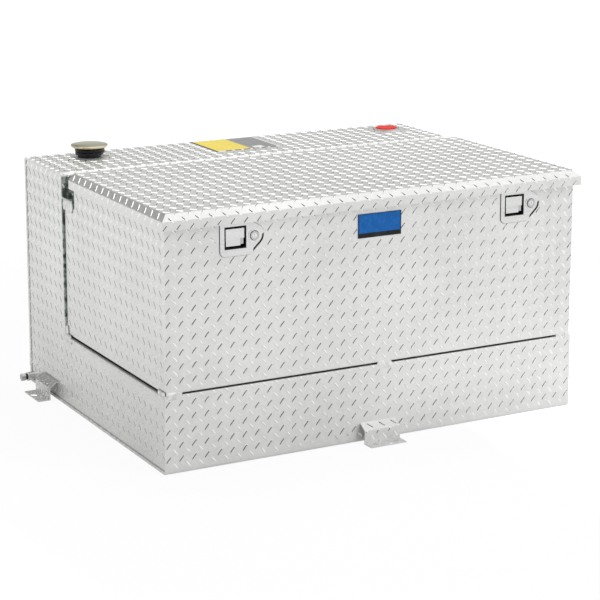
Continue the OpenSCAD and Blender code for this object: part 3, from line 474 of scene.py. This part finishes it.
def on_front():
    return flat((0, FRONT_Y, 0), (1, 0, 0), (0, 0, 1), (0, -1, 0))


def on_side(side, x):
    return flat((side * x, 0, 0), (0, -side, 0), (0, 0, 1), (side, 0, 0))


def folded(points, radii):
    """Maps (u, s, h) onto a strip folded along a path in the Y-Z plane, and gives the path's length.

    u runs along X, s along the path and h off the sheet."""
    # A line has kind, start, length, first point, direction; an arc has kind, start, length, centre,
    # radius, first angle, turn
    segs = []
    pts = [Vector(p) for p in points]
    s = 0.0
    prev_end = pts[0]
    for i in range(1, len(pts)):
        a, b = prev_end, pts[i]
        d = (b - pts[i - 1]).normalized()
        if i < len(pts) - 1 and radii[i] > 0:
            e = (pts[i + 1] - pts[i]).normalized()
            ang = math.acos(clamp(d.dot(e), -1, 1))
            cut = radii[i] * math.tan(ang / 2)
            stop = b - d * cut
            segs.append(("line", s, (stop - a).length, a, d))
            s += (stop - a).length
            turn = 1 if d.x * e.y - d.y * e.x > 0 else -1
            n = Vector((-d.y, d.x)) * turn
            centre = stop + n * radii[i]
            segs.append(("arc", s, radii[i] * ang, centre, radii[i], math.atan2(-n.y, -n.x), turn))
            s += radii[i] * ang
            prev_end = b + e * cut
        else:
            segs.append(("line", s, (b - a).length, a, d))
            s += (b - a).length
            prev_end = b

    def place(u, t, h):
        kind, start, _, p, *rest = next((g for g in segs if t <= g[1] + g[2]), segs[-1])
        if kind == "line":
            d, = rest
            p = p + d * (t - start)
            n = Vector((-d.y, d.x))
        else:
            radius, first, turn = rest
            ang = first + turn * (t - start) / radius
            r = Vector((math.cos(ang), math.sin(ang)))
            p = p + r * radius
            n = r * -turn
        p = p + n * h
        return (u, p.x, p.y)

    return place, s


def tank_bars():
    f = Field()
    wide, edge = (-TANK_X - 4, TANK_X + 4), TANK_X - 0.3
    # Front, up to the lip along the deck
    f.add(lattice(wide, (12, 202), PITCH, (-521.0, 180.0)), on_front(),
          keep=lambda u, v: not near(u, v, FRONT_BRACKET_BOX), cut=within(-edge, edge, 9, DECK_Z + 1.8))
    # Top and back in one run, from the notch over the top and down the back
    first_z, last_z = 540, 12
    round_fold = FOLD_R * (2 - math.pi / 2)
    place, s = folded([(TALL_Y, first_z), (TALL_Y, TANK_Z), (BACK_Y, TANK_Z), (BACK_Y, last_z)],
                      [0, FOLD_R, FOLD_R, 0])

    def clear(u, v):
        y = TALL_Y + (v - (TANK_Z - first_z)) + round_fold
        z = last_z + s - v
        return not (near(u, z, SEAM_BOX) or any(near(u, y, box) for box in (CAP_BOX, PORT_BOX, DECAL_BOX)))

    f.add(lattice(wide, (14, s - 10), PITCH, (-512.0, 20.0)), place,
          keep=clear, cut=within(-edge, edge, 0, s))
    # Ends: an L-shaped plate each
    for side in (-1, 1):
        def inside(u, v, side=side):
            y = -side * u
            if not (FRONT_Y + 15 < y < BACK_Y - 15 and 16 < v < TANK_Z - 16):
                return False
            if y < TALL_Y + 15 and v > DECK_Z - 16:
                return False
            return not (near(y, v, END_BRACKET_BOX) or (side < 0 and near(y, v, DRAIN_BOX)))

        f.add(lattice((-460, 460), (0, TANK_Z), PITCH, (-11.0 * side, 8.0)), on_side(side, END_X),
              keep=inside)
    f.make("tread_bars_tank", "tank")


def bracket_bars():
    """The brackets are folded from the same sheet."""
    f = Field()
    strip, s = folded(BRACKET, [0, 3, 3, 0])
    # Axis along the wall, sign of the way out, and how far out of the box's inner side the section begins
    sides = {"bracket_left": (1, -1, 3), "bracket_right": (1, 1, 3), "bracket_front": (0, -1, 0)}
    for name, (across, sign, off) in sides.items():
        lo, hi = span(name)
        mid = (lo[across] + hi[across]) / 2
        half = (hi[across] - lo[across]) / 2
        wall = (lo if sign > 0 else hi)[1 - across] + sign * off

        def place(u, v, h, mid=mid, wall=wall, sign=sign, across=across):
            _, out, up = strip(u, v, h)
            out = wall + sign * out
            return (mid + u, out, up) if across == 0 else (out, mid + u, up)

        f.add(lattice((-half - 2, half + 2), (5, s - 6), PITCH, (6.0, 14.0)), place,
              keep=lambda u, v: not near(abs(u), v, BOLT_BOX), cut=within(-half, half, 1, s - 1))
    f.make("tread_bars_brackets", "tank")


def chest_bars():
    f = Field()
    bars = lattice((-CHEST_X - 4, CHEST_X + 4), (CHEST_Z + 4, RIM_Z - 8), CHEST_PITCH, (-518.5, 485.9))
    f.add(bars, on_front(), keep=lambda u, v: not near(u, v, BADGE_BOX) and not on_latch(u, v),
          cut=within(-CHEST_X + 0.3, CHEST_X - 0.3, CHEST_Z + 3, RIM_Z - 3))
    for side in (-1, 1):
        def inside(u, v, side=side):
            y = -side * u
            if not (FRONT_Y + 10 < y < CHEST_BACK - 10 and CHEST_Z + 11 < v < RIM_Z - 8):
                return False
            return not (y > HINGE_Y - 10 and v > SHELF_Z - 10)

        f.add(lattice((-460, 460), (200, 640), CHEST_END_PITCH, (16.0 * side, 486.7)), on_side(side, CHEST_X),
              keep=inside)
    f.make("tread_bars_chest", "tank")


def lid_bars():
    f = Field()
    skirt = LID_Z - BEVEL - SKIRT_Z
    slant = BEVEL * math.sqrt(2)
    start = skirt + slant
    path = [(LID_Y, SKIRT_Z), (LID_Y, LID_Z - BEVEL), (LID_Y + BEVEL, LID_Z), (LID_BACK, LID_Z)]
    place, s = folded(path, [0, 0, 0, 0])

    # Front flap and top; v is measured from the top's front edge
    def front(u, v, h):
        return place(u, v + start, h)

    def half_width(v):
        return LID_X - BEVEL * clamp(1 + v / slant, 0, 1)

    def front_cut(u, v):
        v = clamp(v, 0.4 - start, s - start - 1)
        reach = half_width(v) - 0.6
        return (clamp(u, -reach, reach), v)

    bars = lattice((-LID_X, LID_X), (-start, s - start - 8), LID_PITCH, (-564.5, 6.7 - start))
    f.add(bars, front, keep=lambda u, v: abs(u) < half_width(v) - 2, cut=front_cut)
    # End flaps; u is measured outwards from the top's end edge
    y0 = LID_Y + BEVEL
    r = math.sqrt(0.5)

    def flap_cut(u, v):
        u = clamp(u, 0.2, slant + skirt - 0.4)
        return (u, clamp(v, y0 - BEVEL * min(1, u / slant) + 0.6, LID_BACK - 1))

    # One row runs along the middle of the bevel
    origin = (slant / 2 - LID_PITCH[0] / 2, -76.2)
    rows = lattice((4, slant + skirt - 3), (y0 - 4, LID_BACK - 8), LID_PITCH, origin)
    for side in (-1, 1):
        def flap(u, v, h, side=side):
            if u <= slant:
                return (side * (LID_X - BEVEL + (u + h) * r), v, LID_Z - (u - h) * r)
            return (side * (LID_X + h), v, LID_Z - BEVEL - (u - slant))

        f.add(rows, flap, cut=flap_cut, slope=(BAR_S, BAR_C))
    f.make("tread_bars_lid", "lid")


tank_bars()
bracket_bars()
chest_bars()
lid_bars()


# ---------- welds and lips ----------
def rounded(points, radii, step=5.0):
    """A closed path with its corners rounded, as points about one step apart."""
    found = []
    n = len(points)
    for i in range(n):
        p, q, t = Vector(points[i - 1]), Vector(points[i]), Vector(points[(i + 1) % n])
        a, b = (p - q).normalized(), (t - q).normalized()
        angle = math.acos(clamp(a.dot(b), -1, 1))
        cut = radii[i] / math.tan(angle / 2)
        centre = q + (a + b).normalized() * radii[i] / math.sin(angle / 2)
        v0, v1 = q + a * cut - centre, q + b * cut - centre
        turns = max(2, round(radii[i] * (math.pi - angle) / step))
        for k in range(turns + 1):
            found.append(centre + v0.lerp(v1, k / turns).normalized() * radii[i])
    dense = []
    for i, p in enumerate(found):
        q = found[(i + 1) % len(found)]
        parts = max(1, round((q - p).length / step))
        dense += [p.lerp(q, k / parts) for k in range(parts)]
    return dense


BEAD_INSET, BEAD_SIZE, BEAD_SPREAD, BEAD_RING = 5.6, 2.3, 0.15, 6


def end_beads():
    """The bead that fills the inset round each end plate, in short overlapping ripples."""
    k = BEAD_INSET
    corners = [(FRONT_Y + k, k), (BACK_Y - k, k), (BACK_Y - k, TANK_Z - k), (TALL_Y + k, TANK_Z - k),
               (TALL_Y + k, DECK_Z - k), (FRONT_Y + k, DECK_Z - k)]
    path = rounded(corners, [6, 6, 6, 6, 12, 6])
    n, ring = len(path), BEAD_RING
    for side, name in ((-1, "weld_bead_left"), (1, "weld_bead_right")):
        verts, faces = [], []
        for i, p in enumerate(path):
            d = (path[(i + 1) % n] - path[i - 1]).normalized()
            out = Vector((d.y, -d.x))
            size = BEAD_SIZE + (0.35 if i % 2 else -0.25) + rng.uniform(-BEAD_SPREAD, BEAD_SPREAD)
            for j in range(ring):
                ang = math.pi * j / (ring - 1)
                q = p + out * math.cos(ang) * size
                x = side * (TANK_X - 1.6 + math.sin(ang) * size * 0.75)
                verts.append(Vector((x, q.x, q.y)) * MM)
            for j in range(ring - 1):
                a, b = i * ring + j, ((i + 1) % n) * ring + j
                quad = (a, a + 1, b + 1, b)
                faces.append(quad if side > 0 else quad[::-1])
        add_mesh(name, verts, faces, "weld", "tank", smooth=True)


# Profiles of the deck's lips, outwards or inwards from the edge and up from the deck
FRONT_LIP = [(-0.12, -10.5), (-0.12, 1.9), (0.8, 2.8), (8, 2.8), (11, 0), (10, -1), (3, -4)]
END_LIP = [(0, -0.4), (-0.3, 0.8), (0.8, 1.6), (7, 1.6), (9, -0.4)]


def deck_lips():
    """Edges of the deck's sheet, which narrow the gap under the chest, most of all at the front."""
    prism("deck_lip_front", FRONT_LIP, lambda a, b, t: (t, FRONT_Y + a, DECK_Z + b), -TANK_X, TANK_X,
          "tread", "tank")
    for side, name in ((-1, "deck_lip_left"), (1, "deck_lip_right")):
        prism(name, END_LIP, lambda a, b, t, side=side: (side * (TANK_X - a), t, DECK_Z + b),
              FRONT_Y + 9, TALL_Y - 14, "tread", "tank")


# Front patches: their ends in x. End patches: y and z ranges, and the distance of their face from the middle
PATCHES_FRONT = ((-597, -564), (-4, 40), (580, 597))
PATCHES_END = ((-457, -413, 190, 210, 597.5), (118, 191, 546, 579, 597.0), (168, 192, 198, 228, 597.0),
               (143, 199, 181, 207, 598.6))
FRONT_PATCH_H, FRONT_PATCH_RISE, END_PATCH_RISE, PATCH_CELL = 20, 1.7, 2.6, 1.6


def weld_patch(name, centre, eu, ev, en, w, h, rise, seed):
    """Rough built-up weld over a joint: a flat lump with soft edges and crossing ripples."""
    r = random.Random(seed)
    a, b, c, d = (r.uniform(0, 6) for _ in range(4))
    nu, nv = max(6, round(w / PATCH_CELL)), max(6, round(h / PATCH_CELL))
    o, eu, ev, en = Vector(centre), Vector(eu), Vector(ev), Vector(en)
    verts, faces = [], []
    for j in range(nv + 1):
        for i in range(nu + 1):
            u, v = 2 * i / nu - 1, 2 * j / nv - 1
            edge = (1 - abs(u) ** 6) * (1 - abs(v) ** 4)
            x, y = u * w / 2, v * h / 2
            wave = math.sin(0.9 * x + a) * math.sin(0.8 * y + b)
            wave += 0.7 * math.sin(0.45 * (x + y) + c + 0.3 * math.sin(x + d))
            height = edge * (rise + 0.35 * wave + r.uniform(-0.12, 0.12)) - 0.25
            round_u = 1 - 0.05 * (1 - math.cos(math.pi * v)) if abs(u) > 0.9 else 1
            verts.append((o + eu * x * round_u + ev * y + en * height) * MM)
    for j in range(nv):
        for i in range(nu):
            k = j * (nu + 1) + i
            faces.append((k, k + 1, k + nu + 2, k + nu + 1))
    add_mesh(name, verts, faces, "weld", "tank", smooth=True)


def weld_patches():
    z = DECK_Z + 1.5
    for k, (x0, x1) in enumerate(PATCHES_FRONT):
        centre = ((x0 + x1) / 2, FRONT_Y - 0.2, z)
        weld_patch(f"weld_patch_front_{k}", centre, (1, 0, 0), (0, 0, 1), (0, -1, 0),
                   x1 - x0, FRONT_PATCH_H, FRONT_PATCH_RISE, 30 + k)
    for side, name in ((-1, "left"), (1, "right")):
        for k, (y0, y1, z0, z1, x) in enumerate(PATCHES_END):
            centre = (side * x, (y0 + y1) / 2, (z0 + z1) / 2)
            weld_patch(f"weld_patch_{name}_{k}", centre, (0, -side, 0), (0, 0, 1), (side, 0, 0),
                       y1 - y0, z1 - z0, END_PATCH_RISE, 40 + 10 * side + k)


end_beads()
deck_lips()
weld_patches()


# ---------- label, badge and latches ----------
FILM_T, BLANK_T, BADGE_EDGE_T = 0.15, 0.25, 0.25
LABEL_SPLIT, DASHES = 0.56, 6
PULL_W, PULL_H = 11, 18


def label():
    """Bare fields of the decal, and dashes along its foot."""
    (x0, y0, _), (x1, y1, z) = span("top_label")
    split = x0 + LABEL_SPLIT * (x1 - x0)
    film = z + FILM_T
    fields = [
        ("label_left_field", (x0 + 7, y0 + 12, z), (split, y1 - 5, film), "yellow_film"),
        ("label_right_field", (split, y0 + 12, z), (x1 - 4, y1 - 5, film), "grey_film"),
        ("label_blank", (split + 16, y0 + 14, film), (split + 46, y0 + 40, z + BLANK_T), "white_film"),
        ("label_edge", (x0, y0, z), (x0 + 7, y1, film), "black_film"),
    ]
    for k in range(DASHES):
        a = x0 + 30 + k * (x1 - x0 - 30) / DASHES
        fields.append((f"label_dash_{k}", (a, y0, z), (a + 20, y0 + 9, film), "black_film"))
    for name, lo, hi, key in fields:
        slab(name, lo, hi, key, "tank")


def badge():
    """Black edge line with a deeper band along its foot."""
    (x0, y, z0), (x1, _, z1) = span("badge_plate")
    edges = ((x0, z1 - 1.4, x1, z1), (x0, z0, x0 + 2.2, z1 - 1.4), (x1 - 2.2, z0, x1, z1 - 1.4),
             (x0 + 2.2, z0, x1 - 2.2, z0 + 12))
    for k, (a0, b0, a1, b1) in enumerate(edges):
        slab(f"badge_edge_{k}", (a0, y - BADGE_EDGE_T, b0), (a1, y, b1), "black_film", "tank")


def latch_steps():
    """The corner of each paddle is stepped back beside its pull."""
    for side in ("left", "right"):
        lo, hi = span(f"latch_{side}_paddle")
        x, z = hi[0] - PULL_W, lo[2] + PULL_H
        slab(f"latch_step_{side}", (x - 1, lo[1] + 1.4, z - 15), (x + 9, lo[1] + 2.8, z + 1), "steel",
             f"latch_{side}_paddle")


label()
badge()
latch_steps()


# ---------- stage and light ----------
FLOOR_HALF, FLOOR_Z = 14, -0.0005
# The floor's glow as metal sees it: from and to which distance in metres, and from and to which level
GLOW = (0.6, 2.4, 0.68, 1.12)
# Share of its glow in the floor that the camera sees, what far off adds to it, and the share metal sees
GLOW_SHARE, FAR_EXTRA, METAL_SHARE = 0.92, 0.08, 0.45

# The studio as metal sees it: even light, and panels by direction, the cosines at which they begin and are
# full, and the share of light they take; the last one is bright
STUDIO, SOFT_LIGHT = 1.22, 0.62
PANELS = (
    ((-0.66, -0.60, 0.45), 0.79, 0.95, 0.97),
    ((-0.21, 0.86, 0.46), 0.76, 0.96, 0.93),
    ((0.78, 0.60, 0.22), 0.82, 0.97, 0.50),
    ((0.46, 0.86, 0.20), 0.74, 0.95, 0.42),
    ((-0.92, 0.22, 0.32), 0.88, 0.98, 0.66),
    ((-0.1, 0.25, 0.96), 0.70, 0.97, -0.75),
)

# Lamps: place, size in metres and watts, all aimed at one point
LAMP_TARGET = (0, 0, 0.3)
LAMPS = {
    "key": ((2.2, -3.6, 3.2), 1.8, 70),
    "fill": ((-3.8, -0.6, 1.6), 2.4, 25),
    "top": ((0.3, 0.6, 4.2), 2.6, 60),
}


def ray_kinds(nt):
    """Sockets that are 1 for rays from the camera or through clear parts, and for rays off shiny surfaces."""
    lp = nt.nodes.new("ShaderNodeLightPath")
    direct = math_node(nt, "MAXIMUM", lp.outputs["Is Camera Ray"], lp.outputs["Is Transmission Ray"])
    return direct, lp.outputs["Is Glossy Ray"]


def make_stage():
    """Pale floor: plain white to the camera, and uneven in what the metal mirrors of it."""
    me = bpy.data.meshes.new("floor")
    s, z = FLOOR_HALF, FLOOR_Z
    me.from_pydata([(-s, -s, z), (s, -s, z), (s, s, z), (-s, s, z)], [], [(0, 1, 2, 3)])
    m = bpy.data.materials.new("mat_floor")
    nt, out = clear_tree(m, "ShaderNodeOutputMaterial")
    dif = nt.nodes.new("ShaderNodeBsdfDiffuse")
    dif.inputs["Color"].default_value = (0.86, 0.86, 0.86, 1)
    emi = nt.nodes.new("ShaderNodeEmission")
    emi.inputs["Color"].default_value = (1, 1, 1, 1)
    direct, glossy = ray_kinds(nt)
    # Metal sees the floor darker near the object and in front, and brighter to the right and far to the left
    tc = nt.nodes.new("ShaderNodeTexCoord")
    length = nt.nodes.new("ShaderNodeVectorMath")
    length.operation = "LENGTH"
    link(nt, tc.outputs["Object"], length.inputs[0])
    reach = length.outputs["Value"]
    sep = nt.nodes.new("ShaderNodeSeparateXYZ")
    link(nt, tc.outputs["Object"], sep.inputs[0])
    x, y = sep.outputs["X"], sep.outputs["Y"]
    glow = map_range(nt, reach, *GLOW)
    close = math_node(nt, "SUBTRACT", 1.0, smooth_step(nt, reach, 1.2, 2.0))
    right = math_node(nt, "MULTIPLY", smooth_step(nt, x, -0.1, 0.7, 0.8), close)
    left = smooth_step(nt, math_node(nt, "MULTIPLY", x, -1.0), 0.85, 1.3, 0.42)
    ahead = smooth_step(nt, math_node(nt, "MULTIPLY", y, -1.0), 0.9, 2.2, 0.16)
    shade = math_node(nt, "ADD", math_node(nt, "SUBTRACT", glow, ahead), math_node(nt, "ADD", right, left))
    link(nt, math_node(nt, "MAXIMUM", shade, direct), emi.inputs["Strength"])
    share = math_node(nt, "ADD", GLOW_SHARE, smooth_step(nt, reach, 1.0, 2.4, FAR_EXTRA))
    mix = nt.nodes.new("ShaderNodeMixShader")
    link(nt, math_node(nt, "MAXIMUM", math_node(nt, "MULTIPLY", direct, share),
                       math_node(nt, "MULTIPLY", glossy, METAL_SHARE)), mix.inputs[0])
    link(nt, dif.outputs[0], mix.inputs[1])
    link(nt, emi.outputs[0], mix.inputs[2])
    link(nt, mix.outputs[0], out.inputs[0])
    me.materials.append(m)
    floor = bpy.data.objects.new("floor", me)
    scene.collection.objects.link(floor)


def lobe(nt, vec, direction, lo, hi):
    """1 in the given direction, falling to 0, from the world's own direction vector."""
    d = nt.nodes.new("ShaderNodeVectorMath")
    d.operation = "DOT_PRODUCT"
    d.inputs[1].default_value = Vector(direction).normalized()
    link(nt, vec, d.inputs[0])
    return smooth_step(nt, d.outputs["Value"], lo, hi)


def make_world():
    w = bpy.data.worlds.new("world")
    scene.world = w
    nt, out = clear_tree(w, "ShaderNodeOutputWorld")
    bg = nt.nodes.new("ShaderNodeBackground")
    tc = nt.nodes.new("ShaderNodeTexCoord")
    direct, glossy = ray_kinds(nt)
    studio = STUDIO
    for direction, lo, hi, depth in PANELS:
        panel = math_node(nt, "MULTIPLY", lobe(nt, tc.outputs["Generated"], direction, lo, hi), depth)
        studio = math_node(nt, "MULTIPLY", studio, math_node(nt, "SUBTRACT", 1.0, panel))
    soft = math_node(nt, "MULTIPLY", math_node(nt, "SUBTRACT", 1.0, glossy), SOFT_LIGHT)
    rest = math_node(nt, "ADD", math_node(nt, "MULTIPLY", glossy, studio), soft)
    hidden = math_node(nt, "SUBTRACT", 1.0, direct)
    bg.inputs["Color"].default_value = (1, 1, 1, 1)
    link(nt, math_node(nt, "ADD", math_node(nt, "MULTIPLY", rest, hidden), direct), bg.inputs["Strength"])
    link(nt, bg.outputs[0], out.inputs[0])


def make_lamps():
    for name, (loc, size, energy) in LAMPS.items():
        data = bpy.data.lights.new(name, "AREA")
        data.shape = "SQUARE"
        data.size = size
        data.energy = energy
        ob = bpy.data.objects.new(name, data)
        ob.location = loc
        ob.rotation_euler = (Vector(LAMP_TARGET) - Vector(loc)).to_track_quat("-Z", "Y").to_euler()
        ob.visible_glossy = False
        scene.collection.objects.link(ob)


make_stage()
make_world()
make_lamps()
